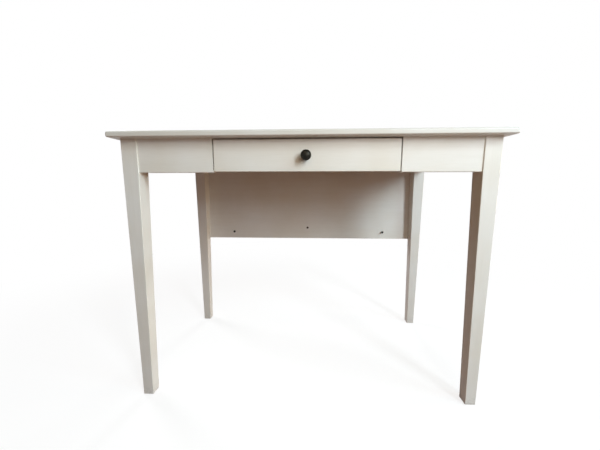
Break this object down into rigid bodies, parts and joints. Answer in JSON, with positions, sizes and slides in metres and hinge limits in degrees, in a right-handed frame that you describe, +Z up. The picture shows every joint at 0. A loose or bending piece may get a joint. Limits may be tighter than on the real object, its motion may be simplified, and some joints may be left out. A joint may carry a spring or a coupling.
{
  "type": "writing desk with drawer",
  "caption": "Painted wooden writing desk on tapered square legs, with a shallow drawer between short front aprons and a deep back panel.",
  "frame": {"origin": "on the floor, under the middle of the desk top", "axes": "+Z up, -Y towards the person who sits at the desk and the way the drawer opens, +X to that person's right"},
  "size_m": [1, 0.51, 0.752],
  "materials": {
    "painted_wood": "satin off-white paint on pine and fibreboard",
    "pine": "planed pine, clear lacquer",
    "beech": "turned and planed beech, bare",
    "hardboard": "fibreboard sheet with a pale lacquered face",
    "dark_bronze": "dark bronze, satin",
    "zinc_plated_steel": "bright zinc plate",
    "zinc_alloy": "die-cast zinc alloy, as cast",
    "glide_plastic": "moulded polyethylene"
  },
  "bodies": {
    "frame": {"desk_top": "painted_wood", "front_left_leg": "painted_wood", "front_right_leg": "painted_wood", "back_left_leg": "painted_wood", "back_right_leg": "painted_wood", "left_front_apron": "painted_wood", "right_front_apron": "painted_wood", "left_side_rail": "painted_wood", "right_side_rail": "painted_wood", "back_panel": "painted_wood", "left_drawer_support": "painted_wood", "right_drawer_support": "painted_wood", "left_drawer_runner": "beech", "right_drawer_runner": "beech", "frame_dowels": "beech", "cam_bolts": "zinc_plated_steel", "cam_locks": "zinc_alloy", "top_brackets": "zinc_plated_steel", "bracket_screws": "zinc_plated_steel", "runner_screws": "zinc_plated_steel", "back_screws": "zinc_plated_steel", "panel_screws": "zinc_plated_steel", "foot_glides": "glide_plastic"},
    "drawer": {"drawer_front": "painted_wood", "drawer_left_side": "pine", "drawer_right_side": "pine", "drawer_back": "pine", "drawer_bottom": "hardboard", "drawer_knob": "dark_bronze", "knob_screw": "zinc_plated_steel", "drawer_dowels": "beech", "drawer_screws": "zinc_plated_steel", "drawer_nails": "zinc_plated_steel"}
  },
  "joints": [
    {"name": "drawer_slide", "type": "slide", "parent": "frame", "child": "drawer", "axis": [0, -1, 0], "range_m": [0, 0.22]}
  ]
}
